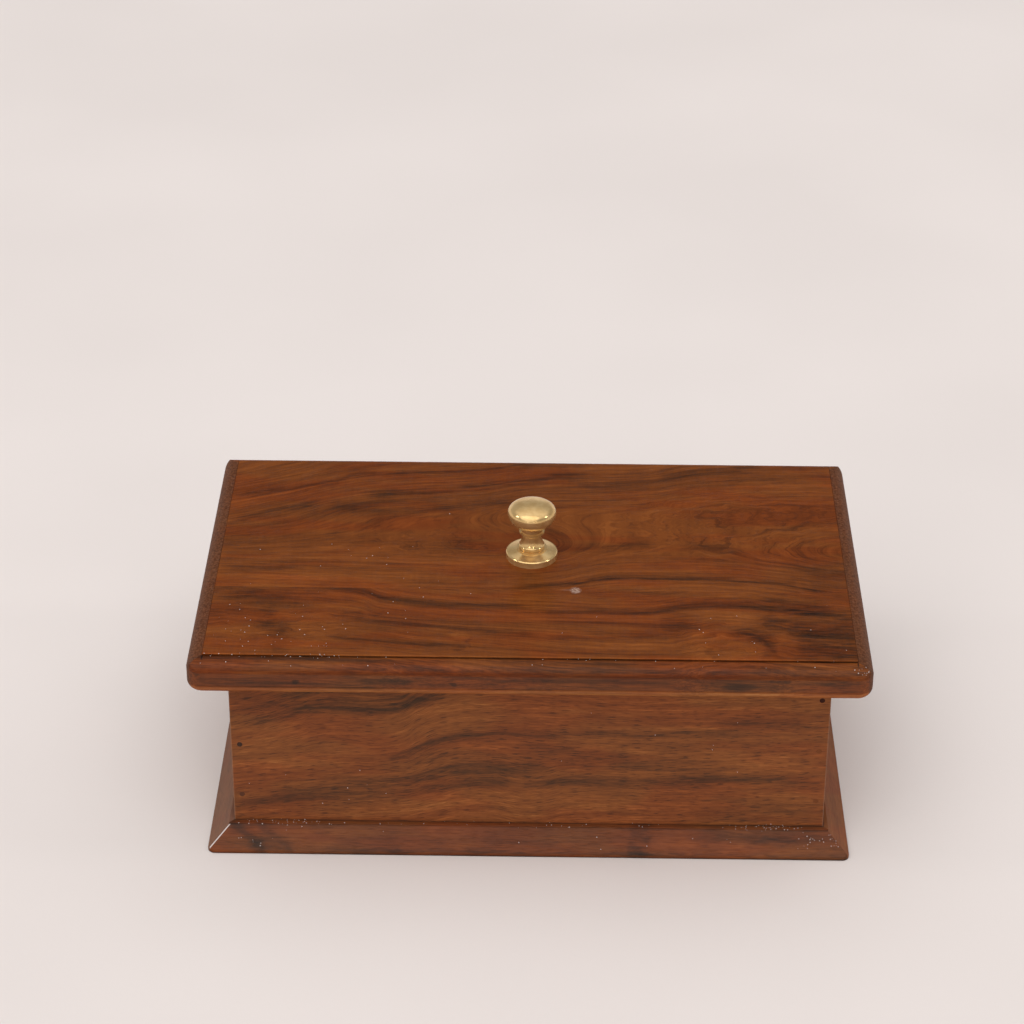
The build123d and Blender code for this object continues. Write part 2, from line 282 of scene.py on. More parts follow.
def grain(finish, axis, across, seed, bend=0.0, wander=5.0, coarse=11.0):
    """Layers of noise along the axis, each about -1 to 1. Bend moves them in the across direction."""
    def long(length, width):
        return tuple(length if i == axis else width for i in range(3))

    def layer(size, number, at, detail):
        return (finish.noise(size, seed + number, at, detail) - 0.5) * 3.0
    place = [finish.x, finish.y, finish.z]
    place[across] = place[across] + layer(long(110, 45), 0, None, 1.0) * wander * 0.5 - bend
    at = finish.join(*place)
    return {
        "bands": layer(long(230, coarse), 1, at, 1.5),
        "lines": layer(long(70, 2.2), 2, at, 4.0),
        "fibres": layer(long(10, 0.6), 3, at, 2.0),
        "mottle": layer(long(12, 5), 5, at, 2.5),
        "pores": finish.noise(long(5.5, 0.40), seed + 4, at, 1.0).rise(0.55, 0.66),
    }


# %% Streaks and clouds
STREAK_HALO = (2.8, 0.58)
STREAK_CORE = (1.2, 0.40)


def streak(finish, along, across, points, width, depth, fade=14.0):
    """How dark a streak makes each spot: it runs through points (along, across), width on either side."""
    start, end = points[0][0], points[-1][0]
    away = abs(across - curve(finish, along, points))
    halo = away.rise(width * STREAK_HALO[0], 0) * STREAK_HALO[1]
    core = away.rise(width * STREAK_CORE[0], width * 0.1) * STREAK_CORE[1]
    ends = along.rise(start, start + fade) * along.rise(end, end - fade)
    return (halo + core) * ends * depth


def cloud(finish, along, across, centre, size, amount=1.0):
    """A soft patch round centre, size on either side; amount below 0 lightens."""
    a = (along - centre[0]) / size[0]
    b = (across - centre[1]) / size[1]
    return (a * a + b * b).rise(1.9, 0.1) * amount


def total(fields):
    """Adds up a list of fields."""
    whole = fields[0]
    for field in fields[1:]:
        whole = whole + field
    return whole


STREAK_DEPTH = 0.74
CLOUD_DEPTH = 0.70


def torn_marks(finish, layers, seed, tear, streaks, clouds):
    """Streaks and clouds as one darkening, torn along the grain; tear is the size of the rents."""
    torn = (finish.noise(tear, seed + 14, None, 4.0) - 0.5) * 3.0
    through = (torn * 0.55 + layers["fibres"] * 0.2 - layers["lines"] * 0.2 + 0.9).most(0.0)
    ragged = (torn * 0.9 + layers["fibres"] * 0.15 + 0.75).most(0.0)
    return total(streaks) * through * STREAK_DEPTH + total(clouds) * ragged * CLOUD_DEPTH


# %% [markdown]
# The tone is one number: 0 is the darkest streak, 1 the palest gold. One ramp turns it into colour, the
# same for every varnished board, because they were stained alike. What differs from board to board is how
# much of each layer it gets and which streaks cross it. Varnish is the clear coat of the Principled
# shader; the wood under it has no shine of its own, or the deep brown would turn milky.

# %% From tone to colour
WOOD_STOPS = [
    (0.00, srgb(34, 20, 13)),
    (0.20, srgb(62, 35, 18)),
    (0.38, srgb(89, 47, 20)),
    (0.54, srgb(113, 60, 24)),
    (0.70, srgb(132, 73, 30)),
    (0.85, srgb(153, 91, 41)),
    (1.00, srgb(178, 116, 60)),
]
RED_STAIN = srgb(255, 214, 196)


def tone_of(layers, middle, bands=0.14, lines=0.14, fibres=0.08, mottle=0.06):
    """Adds the layers of noise round a middle tone."""
    return (
        layers["bands"] * bands
        + layers["lines"] * lines
        + layers["fibres"] * fibres
        + layers["mottle"] * mottle
        + middle
    )


def varnished(finish, seed, tone, layers, pore_depth, patches=(), gloss=0.12, coat=0.20):
    """The shader that all varnished boards share. Patches are (amount, colour) laid over the wood."""
    worked = tone - layers["pores"] * pore_depth
    colour = finish.ramp(worked, WOOD_STOPS)
    redness = finish.noise((60, 14, 14), seed + 20, None, 2.0).rise(0.42, 0.62) * 0.55
    colour = finish.mix(redness, colour, RED_STAIN, "MULTIPLY")
    for amount, over in patches:
        colour = finish.mix(amount, colour, over)
    height = layers["fibres"] * 0.12 - layers["pores"] * 0.6
    return finish.shade(
        colour, 0.5, height, depth=0.00006, Coat_Weight=coat, Coat_Roughness=gloss, Specular_IOR_Level=0.0
    )


# %% [markdown]
# ## The lid
#
# Two boards, glued edge to edge. The back one is calm, with long dark lines that climb to the right. The
# front one is wilder: knots, dark clouds, and a line that rises over them like a low hill. Their short
# ends are end grain, which soaks up stain, so the moulded edge turns darker and greyer there.

# %% Where the lid's mouldings are
lid_low, lid_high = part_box("lid_board_front")
LID_TOP = lid_high.z / MM
LID_HALF = lid_high.x / MM
LID_FRONT = lid_low.y / MM
QUIRK = 7.2
FIELD_X = LID_HALF - QUIRK
FIELD_Y = LID_FRONT + QUIRK
print("the lid's flat field reaches x", round(FIELD_X, 1), "and y", round(FIELD_Y, 1), "mm")

# %% The back board's marks
LID_BACK_BEND = {
    "lower": [(-153, 0), (-60, 0), (-12, -2), (25, 6), (50, 11), (80, 11), (110, 7), (140, -1), (153, -3)],
    "upper": [(-153, 0), (-120, 14), (-82, 29), (-60, 33), (-30, 37), (0, 44), (50, 48), (90, 58), (153, 60)],
    "levels": (-4, 52),
}
LID_BACK_STREAKS = [
    ([(-150, 54), (-128, 58.5), (-111, 63.5), (-98, 68.5), (-81, 77), (-66, 76)], 2.4, 0.34),
    ([(-78, 76), (-58, 76.5), (-40, 78.5), (-15, 83), (5, 87)], 3.2, 0.24),
    ([(-150, 24), (-140, 30.5), (-132, 35), (-118, 42), (-96, 46)], 4.2, 0.30),
    ([(-84, 54), (-58, 58.5), (-44, 60), (-34, 63), (-16, 66.5), (2, 71), (14, 76), (30, 77)], 2.8, 0.30),
    ([(-100, 45), (-76, 41), (-60, 42), (-42, 45), (-20, 49), (0, 50)], 3.6, 0.24),
    ([(12, 69), (30, 67), (50, 71), (70, 75), (83, 79), (96, 81), (112, 82)], 3.4, 0.13),
    ([(54, 83), (65, 80), (80, 82), (90, 88)], 2.8, 0.12),
    ([(10, 4), (31, 8.5), (44, 10.5), (66, 13)], 3.6, 0.22),
    ([(-12, -29), (7, -26.6), (22, -24.4), (30, -21), (42, -19.4), (60, -19.4), (80, -19.2),
      (100, -21.7), (116, -23.6), (126, -27.2), (142, -31)], 1.3, 0.36),
    ([(66, 9), (84, 8.5), (98, 6), (105, 0), (110, -6)], 3.0, 0.20),
    ([(-150, -15), (-126, -14), (-104, -12)], 3.0, 0.16),
    ([(-31, -29), (-24, -25), (-16, -19)], 2.6, 0.22),
]
LID_BACK_CLOUDS = [
    ((-42, 7), (22, 10), 0.14),
    ((-32, 9), (5, 5), 0.14),
    ((-68, 57), (15, 4), 0.09),
    ((-86, 46), (14, 5), 0.09),
    ((-114, -23), (16, 7), -0.10),
    ((-68, -26), (12, 5), -0.08),
    ((-50, -26), (9, 5), 0.10),
    ((136, -12), (16, 26), 0.16),
    ((70, -25), (50, 5), -0.05),
    ((8, 88), (18, 4), 0.18),
    ((105, 88), (10, 3), 0.18),
    ((60, 77), (4, 6), -0.10),
    ((-130, 80), (30, 14), -0.06),
    ((40, 14), (8, 3), -0.08),
    ((20, 30), (60, 40), 0.05),
]
LID_BACK_SWIRLS = [((-45, 8), (24, 14), 9.0), ((88, 34), (50, 30), 9.0)]
print("back board:", len(LID_BACK_STREAKS), "streaks and", len(LID_BACK_CLOUDS), "clouds")

# %% The front board's marks
LID_FRONT_BEND = {
    "lower": [(-153, 2), (-110, 0), (-78, 0), (-53, -3.5), (-28, -6.6), (0, -10), (28, -12.6), (60, -12.6),
              (90, -6), (120, -10), (153, -14)],
    "upper": [(-153, 3), (-110, 2), (-83, 0), (-68, -8), (-55, -10.5), (-28, -14), (0, -17), (50, -18.6),
              (60, -16.6), (80, -11.7), (92, -11), (110, -14), (137, -19), (153, -21)],
    "levels": (-64, -46),
}
LID_FRONT_STREAKS = [
    ([(-104, -30.6), (-90, -31), (-82, -32.4), (-75, -35), (-68, -39), (-56, -42), (-44, -44.2), (-28, -45),
      (-14, -44.4), (4, -48)], 1.9, 0.34),
    ([(-84, -56), (-70, -59.6), (-53, -61.5), (-40, -63.4), (-28, -64.6), (-15, -66.6),
      (8, -68.2)], 3.0, 0.32),
    ([(-94, -71), (-83, -73.4), (-71, -75.9), (-58, -77.2), (-46, -78.4), (-30, -78.6)], 1.3, 0.28),
    ([(-146, -40), (-128, -43), (-112, -44), (-96, -46.5)], 2.4, 0.24),
    ([(-4, -49.5), (25, -49.6), (50, -49.6), (60, -47.6), (68, -44.4), (80, -42.7), (92, -42), (104, -44),
      (120, -46.6), (144, -51)], 1.9, 0.36),
    ([(50, -41), (78, -38.4), (90, -36), (101, -36.6), (118, -39.4), (140, -45)], 1.6, 0.22),
    ([(4, -69), (28, -70.6), (50, -70.4), (76, -70)], 2.4, 0.24),
    ([(4, -57), (24, -58.4), (44, -59), (62, -61), (76, -57)], 2.2, 0.20),
    ([(88, -61), (92, -64.5), (99, -67), (104, -71), (109, -82), (113, -90)], 2.6, 0.34),
]
LID_FRONT_CLOUDS = [
    ((-128, -34), (26, 5), 0.26),
    ((-138, -52), (16, 4), 0.20),
    ((-119, -55), (4.5, 9), 0.15),
    ((-114, -65), (5.6, 7), 0.19),
    ((-111, -78), (3.6, 9), 0.13),
    ((-138, -68), (12, 11), -0.12),
    ((-95, -65), (7, 8), -0.16),
    ((-102, -80), (9, 6), -0.14),
    ((-84, -46), (10, 4), -0.14),
    ((-82, -55), (7, 4), 0.18),
    ((-69, -52), (4, 1.2), 0.18),
    ((-32.4, -80.4), (3.0, 2.8), 0.24),
    ((-31, -71), (4, 2.6), -0.18),
    ((-26.8, -75), (1.3, 5), 0.13),
    ((60, -32.6), (14, 2.6), 0.14),
    ((98, -34.4), (12, 2.6), -0.14),
    ((68, -54), (9, 5), 0.22),
    ((66, -61), (9, 3.6), 0.22),
    ((110, -54.6), (5, 5.4), 0.28),
    ((98, -67), (10, 5), 0.24),
    ((107, -77), (4, 9), 0.18),
    ((130, -69), (15, 8), 0.14),
    ((134, -70), (20, 26), 0.16),
    ((96, -55), (9, 6), -0.11),
    ((95, -80), (11, 6), -0.13),
    ((115, -75), (5.4, 11), -0.14),
    ((75, -80), (6, 7), -0.16),
    ((81, -82), (1.8, 7), 0.16),
    ((40, -80), (16, 3), -0.12),
    ((140, -62), (34, 60), 0.20),
]
LID_EDGE_CLOUDS = [
    ((-66, 98.5), (13, 1.6), 0.24),
    ((-111, 97), (18, 0.7), 0.20),
    ((-104, 97.8), (1.7, 1.2), 0.28),
    ((-33.3, 97.3), (1.6, 1.1), 0.28),
    ((-148, 101.5), (2.4, 1.6), 0.20),
    ((93, 97.8), (7, 1.8), 0.24),
    ((111.5, 101), (4, 1.0), 0.18),
    ((83, 103), (4, 1.0), 0.18),
    ((20, 100), (34, 1.2), 0.10),
]
LID_FRONT_SWIRLS = [((98, -70), (34, 20), 11.0), ((-114, -64), (30, 18), 10.0)]
SCUFF = (20.4, -30.6)
SCUFF_RADIUS = 2.5
print("front board:", len(LID_FRONT_STREAKS), "streaks and", len(LID_FRONT_CLOUDS), "clouds")


# %% The lid boards' finish
def swirl(finish, across, marks, seed):
    """Stirs the across coordinate inside soft patches, as grain does round a knot."""
    stir = finish.noise((12, 7, 7), seed, None, 2.0) - 0.5
    return across + stir * total([cloud(finish, finish.x, finish.y, *m) for m in marks])


def lid_board(name, seed, bend, streaks, clouds, swirls, middle):
    """A lid board: field, painted shade in the quirk round it, moulded edge, and end grain on the short edges.
    """
    f = Finish(name)
    stirred = swirl(f, f.y, swirls, seed + 12)
    push = bent_grain(f, f.x, f.y, **bend) + (f.y - stirred)
    layers = grain(f, 0, 1, seed, push)
    rough_y = f.y + (f.noise((9, 3, 3), seed + 9, None, 3.0) - 0.5) * 9
    rough_x = f.x + (f.noise((9, 5, 5), seed + 11, None, 3.0) - 0.5) * 12
    path_y = f.y + layers["lines"] * 0.5 + (f.noise((15, 4, 4), seed + 10, None, 2.0) - 0.5) * 3
    field = abs(f.x).rise(FIELD_X + 0.4, FIELD_X - 0.2) * f.y.rise(FIELD_Y - 0.4, FIELD_Y + 0.2)
    marks = torn_marks(
        f, layers, seed, (11, 1.5, 1.5),
        [streak(f, f.x, path_y, *m) for m in streaks], [cloud(f, rough_x, rough_y, *m) for m in clouds],
    )
    figure = (f.noise((1.6, 12, 12), seed + 6) - 0.5) * 0.08
    tone = tone_of(layers, middle, bands=0.10, lines=0.15, fibres=0.11) + figure - marks * field
    # the moulded front edge, from the top down: a painted highlight on the arris, painted shade in the quirk,
    # a painted gloss band on the crown, heel, upright face with a painted grey sheen, and the lower rounding
    # with a painted reflection of the floor
    drop = LID_TOP - f.z
    moulding = f.y.rise(FIELD_Y, FIELD_Y - 0.6)
    # painted highlight: a pale line along the arris at the field's edge
    arris_highlight = f.y.rise(FIELD_Y + 1.3, FIELD_Y + 0.5) * f.y.rise(FIELD_Y - 0.1, FIELD_Y)
    at_quirk = abs(f.y - FIELD_Y).rise(0.5, 0.15).most(abs(abs(f.x) - FIELD_X).rise(0.5, 0.15))
    # painted shade: the quirk round the field is darkened
    quirk_shade = at_quirk * drop.rise(0.05, 0.3) * drop.rise(1.4, 0.8)
    # painted highlight: the crown of the roll is lightened as a gloss band
    crown = moulding * drop.rise(0.5, 1.0) * drop.rise(3.0, 1.6)
    heel = moulding * drop.rise(3.2, 4.2) * drop.rise(6.2, 5.2)
    # the upright face carries its stains and also a painted grey sheen
    face = moulding * drop.rise(5.2, 6.4) * drop.rise(12.6, 11.8)
    # painted reflection: the lower rounding is lightened as if it mirrored the pale floor
    rounding_reflection = moulding * drop.rise(12.0, 13.6)
    stains = total([cloud(f, rough_x, f.z, *m) for m in LID_EDGE_CLOUDS]) * face
    # adds the painted arris highlight, the painted quirk shade and the painted gloss on the crown
    tone = tone + arris_highlight * 0.16 - quirk_shade * 0.42 - moulding * 0.15 + crown * 0.10 + heel * 0.03 + face * 0.06
    from_line = abs(f.y + layers["lines"] * 0.4 - FIELD_Y + 3.0 + f.x * 0.012)
    grain_line = from_line.rise(1.5, 0.3) * f.x.rise(-18, -50)
    tone = tone + rounding_reflection * 0.38 - stains - moulding * grain_line * drop.rise(4.0, 2.5) * 0.16
    tone = tone + moulding * (layers["lines"] * 0.08 + layers["fibres"] * 0.05)
    # end grain: it stops at the diagonal where the two mouldings meet
    corner = (abs(f.y) + FIELD_Y).most(0.0)
    end = (abs(f.x) - FIELD_X - corner).rise(0.2, 0.8)
    pitted = f.noise((1.0, 1.0, 1.0), seed + 8, None, 3.0)
    end_colour = f.ramp(pitted, [(0.3, srgb(62, 37, 24)), (0.55, srgb(96, 59, 39)), (0.8, srgb(124, 82, 58))])
    away_x = (f.x - SCUFF[0]) / SCUFF_RADIUS
    away_y = (f.y - SCUFF[1]) / SCUFF_RADIUS
    reach = away_x * away_x + away_y * away_y
    rubbed = f.noise((1.0, 0.8, 1.0), seed + 16, None, 2.0).rise(0.38, 0.62)
    smudge = reach.rise(1.6, 0.2) * (rubbed * 0.5 + 0.12)
    scratch = abs(f.y - SCUFF[1] - 0.3).rise(0.4, 0.1) * f.x.rise(12.5, 16) * f.x.rise(19, 18)
    # patches: heel colour, painted grey sheen on the face, painted floor reflection on the rounding, end
    # grain, scuff
    patches = [
        (heel * 0.25, srgb(90, 34, 12)),
        (face * 0.12, srgb(122, 100, 86)),
        (rounding_reflection * 0.22, srgb(152, 112, 82)),
        (end * 0.8, end_colour),
        ((smudge + scratch * 0.18) * f.z.rise(LID_TOP - 0.3, LID_TOP - 0.1), srgb(196, 172, 156)),
    ]
    wear(varnished(f, seed, tone, layers, 0.07, patches, gloss=0.08), name)


lid_board("lid_board_back", 3.0, LID_BACK_BEND, LID_BACK_STREAKS, LID_BACK_CLOUDS, LID_BACK_SWIRLS, 0.55)
lid_board("lid_board_front", 5.0, LID_FRONT_BEND, LID_FRONT_STREAKS, LID_FRONT_CLOUDS, LID_FRONT_SWIRLS, 0.55)
print("lid boards finished")

# %% [markdown]
# ## The front board
#
# Here the pores are open and show everywhere as short dark dashes. A bluish dark line wanders down from
# under the lid to the left, golden bands cross the middle, and wavy dark bands run below them.

# %% Front wall marks
FRONT_BEND = {
    "lower": [(-137, 0), (-97, 5), (-59, 8), (-42, 12), (-20, 15), (0, 12), (20, 15), (60, 15), (137, 16)],
    "upper": [(-137, -8), (-122, -4), (-104, 2), (-90, 5), (-67, 4), (-50, 11), (-37, 16), (-10, 18),
              (40, 17), (137, 20)],
    "levels": (34, 62),
}
FRONT_STREAKS = [
    ([(-136, 61), (-122, 65), (-110, 67.6), (-103, 70.4), (-90, 73), (-81, 73), (-67, 71.5), (-58, 73.5),
      (-50, 77.6), (-40, 80.6), (-30, 82)], 1.8, 0.44),
    ([(-66, 46), (-57, 49), (-50, 52), (-44, 55), (-37, 57), (-29, 59.2), (-20, 59.9), (4, 59.4), (34, 60.2),
      (54, 60), (72, 61.6), (104, 62)], 1.5, 0.34),
    ([(82, 66), (100, 66.4), (124, 66), (138, 64)], 1.5, 0.32),
    ([(-12, 52), (0, 52.4), (14, 53), (28, 52.2)], 1.6, 0.32),
    ([(-122, 26), (-97, 29), (-83, 31), (-67, 32), (-55, 34), (-42, 36.5), (-31, 38), (-14, 38.6),
      (8, 38)], 2.4, 0.28),
    ([(-138, 18), (-120, 21), (-97, 24), (-71, 26), (-59, 27), (-50, 29.5), (-42, 31), (-17, 33),
      (-2, 30)], 2.4, 0.28),
    ([(60, 37), (84, 36.2), (110, 36), (138, 35.4)], 1.5, 0.36),
    ([(-4, 30), (12, 33.4), (34, 33), (60, 33.6), (88, 31)], 2.6, 0.24),
]
FRONT_CLOUDS = [
    ((-104, 77), (44, 7), 0.20),
    ((-53, 77), (12, 5), 0.26),
    ((-76, 65), (26, 7), 0.12),
    ((-30, 44), (28, 7), 0.22),
    ((24, 45), (34, 6), 0.20),
    ((72, 43), (26, 5), 0.16),
    ((118, 54), (22, 3), 0.14),
    ((-107, 40), (32, 4.4), -0.16),
    ((-118, 54), (18, 9), -0.06),
    ((-12, 71), (38, 9), -0.12),
    ((70, 74), (74, 6), -0.12),
    ((8, 20), (68, 10), -0.14),
    ((108, 44), (22, 3.6), -0.12),
    ((112, 17), (34, 6), 0.22),
    ((104, 29), (30, 5), 0.06),
]
# painted sheen: a pale grey veil for the reflection on the walls' varnish
WALL_SHEEN = srgb(140, 115, 95)
WALL_FACE_Y = abs(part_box("front_wall")[0].y) / MM
WALL_FACE_X = abs(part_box("left_wall")[0].x) / MM
FOOT_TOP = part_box("plinth_front")[1].z / MM
print("front wall:", len(FRONT_STREAKS), "streaks and", len(FRONT_CLOUDS), "clouds")
print("the foot is", FOOT_TOP, "mm high")


# %% Wall boards' finish
def wall_board(name, seed, axis, middle, bend=None, streaks=(), clouds=()):
    """A wall board whose grain runs along the axis."""
    f = Finish(name)
    along = (f.x, f.y)[axis]
    push = bent_grain(f, along, f.z, **bend) if bend else 0.0
    layers = grain(f, axis, 2, seed, push, wander=3.0)
    rough_z = f.z + (f.noise((22, 22, 2), seed + 9, None, 3.0) - 0.5) * 9
    rough_along = along + (f.noise((9, 9, 3), seed + 11, None, 3.0) - 0.5) * 16
    tone = tone_of(layers, middle, bands=0.09, lines=0.19, fibres=0.17, mottle=0.05)
    golden = f.noise((14, 14, 0.9), seed + 15, None, 2.0).rise(0.58, 0.70)
    tone = tone + golden * 0.10
    if streaks:
        path_z = f.z + layers["lines"] * 0.8 + (f.noise((15, 15, 4), seed + 10, None, 2.0) - 0.5) * 3
        tone = tone - torn_marks(
            f, layers, seed, (8, 8, 1.2),
            [streak(f, along, path_z, *m) for m in streaks],
            [cloud(f, rough_along, rough_z, *m) for m in clouds],
        )
    # painted shade in the crease above the foot, and a painted highlight on the lit line just above it
    crease_shade = f.z.rise(FOOT_TOP + 0.7, FOOT_TOP + 0.3)
    lit_line = f.z.rise(FOOT_TOP + 0.6, FOOT_TOP + 1.0) * f.z.rise(FOOT_TOP + 2.0, FOOT_TOP + 1.4)
    tone = tone - crease_shade * 0.16 + lit_line * 0.04
    # a painted highlight: paler where |x| reaches the wall's face, in front: the front wall's ends and the
    # side walls' front half
    edge_highlight = abs(f.x).rise(WALL_FACE_X - 0.6, WALL_FACE_X - 0.2) * f.y.rise(0, -10)
    # the grey veil is a painted sheen
    patches = [(0.12, WALL_SHEEN), (edge_highlight * 0.35, srgb(158, 124, 100))]
    wear(varnished(f, seed, tone, layers, 0.26, patches, gloss=0.16, coat=0.16), name)


wall_board("front_wall", 11.0, 0, 0.615, FRONT_BEND, FRONT_STREAKS, FRONT_CLOUDS)
wall_board("back_wall", 17.0, 0, 0.58)
wall_board("left_wall", 23.0, 1, 0.52)
wall_board("right_wall", 29.0, 1, 0.56)
print("walls finished")

# %% [markdown]
# ## The moulding round the foot
#
# The same wood as the walls, stained a little redder. Two dark streaks run off its left end at a slant,
# and painted shade darkens the crease where the moulding meets the wall. At the front left corner the
# mitre has opened a hair, and a pale painted highlight runs along its ridge beside the dark gap. A mitre
# is a diagonal, so the line needs no piece of its own: it is the place where x and y, counted from the
# walls, are equal.

# %% Plinth strips
PLINTH_STREAKS = [
    ([(-141, 10.6), (-134, 8.4), (-129, 6), (-125, 4), (-119, 0)], 1.8, 0.40),
    ([(-127, 10.4), (-119, 7), (-114, 4.6), (-106, 1)], 1.5, 0.32),
]
PLINTH_CLOUDS = [
    ((-122, 3.4), (6, 3), 0.24),
    ((51.5, 5), (5, 8), 0.20),
    ((49, 2), (4, 3), 0.10),
    ((66, 5), (9, 5), -0.12),
    ((85, 7.4), (8, 4), 0.14),
    ((20, 1.9), (100, 0.6), 0.16),
    ((116, 1.2), (26, 0.7), -0.14),
    ((128, 5), (26, 8), 0.12),
    ((106, 3), (28, 2.6), -0.18),
    ((112, 6), (16, 1.6), 0.24),
    ((-40, 5), (18, 5), -0.12),
    ((-70, 1.6), (16, 1.1), 0.24),
]
STEP_OUT = 2.3
PALE_SHEEN = srgb(146, 124, 110)
print("foot:", len(PLINTH_STREAKS), "streaks and", len(PLINTH_CLOUDS), "clouds")


def plinth_strip(name, seed, axis, middle, streaks=(), clouds=(), sheen=0.06):
    """One side of the moulding. Sheen is how much of the pale room its slope has taken on."""
    f = Finish(name)
    along, out = ((f.x, abs(f.y) - WALL_FACE_Y), (f.y, abs(f.x) - WALL_FACE_X))[axis]
    layers = grain(f, axis, 2, seed, wander=3.0, coarse=7.0)
    rough_along = along + (f.noise((6, 6, 3), seed + 9, None, 3.0) - 0.5) * 10
    rough_z = f.z + (f.noise((7, 7, 1.4), seed + 10, None, 3.0) - 0.5) * 3
    tone = tone_of(layers, middle, bands=0.14, lines=0.12, fibres=0.09, mottle=0.07)
    if streaks:
        tone = tone - torn_marks(
            f, layers, seed, (7, 3, 1.2),
            [streak(f, along, rough_z, *m, 5.0) for m in streaks],
            [cloud(f, rough_along, rough_z, *m) for m in clouds],
        )
    # painted shade in the crease at the wall, a painted highlight on the lit arris, painted shade as a dark
    # line at the small step, and painted shade along the toe at the floor
    crease_shade = out.rise(0.7, 0.3)
    arris_highlight = out.rise(STEP_OUT - 0.8, STEP_OUT - 0.3) * f.z.rise(FOOT_TOP - 0.3, FOOT_TOP - 0.1)
    step_shade = f.z.rise(FOOT_TOP - 1.5, FOOT_TOP - 1.1) * f.z.rise(FOOT_TOP - 0.2, FOOT_TOP - 0.6)
    tone = tone - crease_shade * 0.24 + arris_highlight * 0.04 - step_shade * 0.07 - f.z.rise(1.0, 0.2) * 0.22
    # 0 on the diagonal of the mitre, below 0 on the front strip, above 0 on the side strips
    mitre = abs(f.x) - abs(f.y) - (WALL_FACE_X - WALL_FACE_Y)
    on_slope = f.z.rise(1.5, 2.4) * f.z.rise(FOOT_TOP - 0.9, FOOT_TOP - 1.3)
    front_left = f.x.rise(0, -10) * f.y.rise(0, -10) * on_slope
    # painted highlight: a pale line along the ridge of the front left mitre, beside the dark gap of the opened
    # joint
    mitre_highlight = mitre.rise(-0.75, -0.5) * mitre.rise(0.1, 0.0) * front_left
    gap = mitre.rise(0.0, 0.1) * mitre.rise(0.9, 0.4) * front_left
    patches = [(sheen, PALE_SHEEN), (mitre_highlight * 0.85, srgb(224, 212, 206)), (gap * 0.6, srgb(52, 32, 24))]
    wear(varnished(f, seed, tone, layers, 0.08, patches, gloss=0.10, coat=0.18), name)


plinth_strip("plinth_front", 31.0, 0, 0.50, PLINTH_STREAKS, PLINTH_CLOUDS)
plinth_strip("plinth_back", 37.0, 0, 0.54)
plinth_strip("plinth_left", 41.0, 1, 0.52, sheen=0.34)
plinth_strip("plinth_right", 43.0, 1, 0.60, sheen=0.14)
print("plinth finished")

# %% [markdown]
# ## Inside
#
# The dividers, the bottom and the strips under the lid are a plain pale wood, sanded and left without
# varnish.


# %% Inner wood
def inner_board(name, seed, axis, across):
    """A sanded board with no varnish. Its grain runs along the axis, and across is its width."""
    f = Finish(name)
    layers = grain(f, axis, across, seed, coarse=6.0)
    tone = tone_of(layers, 0.5) - layers["pores"] * 0.12
    colour = f.ramp(tone, [(0.1, srgb(142, 100, 62)), (0.5, srgb(184, 142, 98)), (0.9, srgb(212, 176, 132))])
    wear(f.shade(colour, 0.62, layers["fibres"], depth=0.00008, Specular_IOR_Level=0.3), name)


inner_board("bottom_panel", 51.0, 0, 1)
inner_board("long_divider", 53.0, 0, 2)
for number in (1, 2, 3):
    inner_board(f"cross_divider_{number}", 55.0 + number, 1, 2)
for side, axis in (("front", 0), ("back", 0), ("left", 1), ("right", 1)):
    inner_board(f"lid_strip_{side}", 61.0 + axis, axis, 1 - axis)
print("inner boards finished")

# %% [markdown]
# ## The turned knob
#
# The model's knob is right in height and width, but its crown is one shallow dome that meets the side in
# a tight edge, and polished brass shows such an edge as a rim. The real one is nearly flat on top and
# rolls over into the side in a generous curve. So the profile is drawn again here, as pairs of radius and
# height in millimetres, and turned round the Z axis: a ring of points for each pair, joined by faces.
# Soft shading hides the facets, and edges sharper than a limit stay crisp.

# %% The knob's profile
knob_low, knob_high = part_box("knob")
KNOB_BASE = knob_low.z / MM
HEAD_RADIUS = knob_high.x / MM
HEAD_LINE = 18.59
BELLY = (7.0, 7.0)
SHOULDER = (5.15, 3.92)
SHOULDER_TURN = 70
NECK_RADIUS = 5.2
NECK = (9.0, 11.0)
COLLAR_RADIUS = 5.9
COLLAR = (8.2, 8.8)
STEM_RADIUS = 6.0
STEM_EASE = 0.25
STEM_LIP = 1.9
WAIST_LINE = (4.75, 4.95)
WAIST_TOP = (5.05, 8.0)
ARC_STEPS = 14
CROWN_STEPS = 6


def arc(centre, reach, start, end):
    """Points on an ellipse, from one angle to another in degrees."""
    turns = [math.radians(start + (end - start) * i / ARC_STEPS) for i in range(ARC_STEPS + 1)]
    return [(centre[0] + reach[0] * math.cos(t), centre[1] + reach[1] * math.sin(t)) for t in turns]


def waist(low, middle, high):
    """A hollow curve through three points, as height for radius."""
    points = []
    for i in range(ARC_STEPS + 1):
        h = low[1] + (high[1] - low[1]) * i / ARC_STEPS
        t = (h - low[1]) / (high[1] - low[1])
        r = low[0] * (1 - t) * (1 - 2 * t) + middle[0] * 4 * t * (1 - t) + high[0] * t * (2 * t - 1)
        points.append((r, h))
    return points


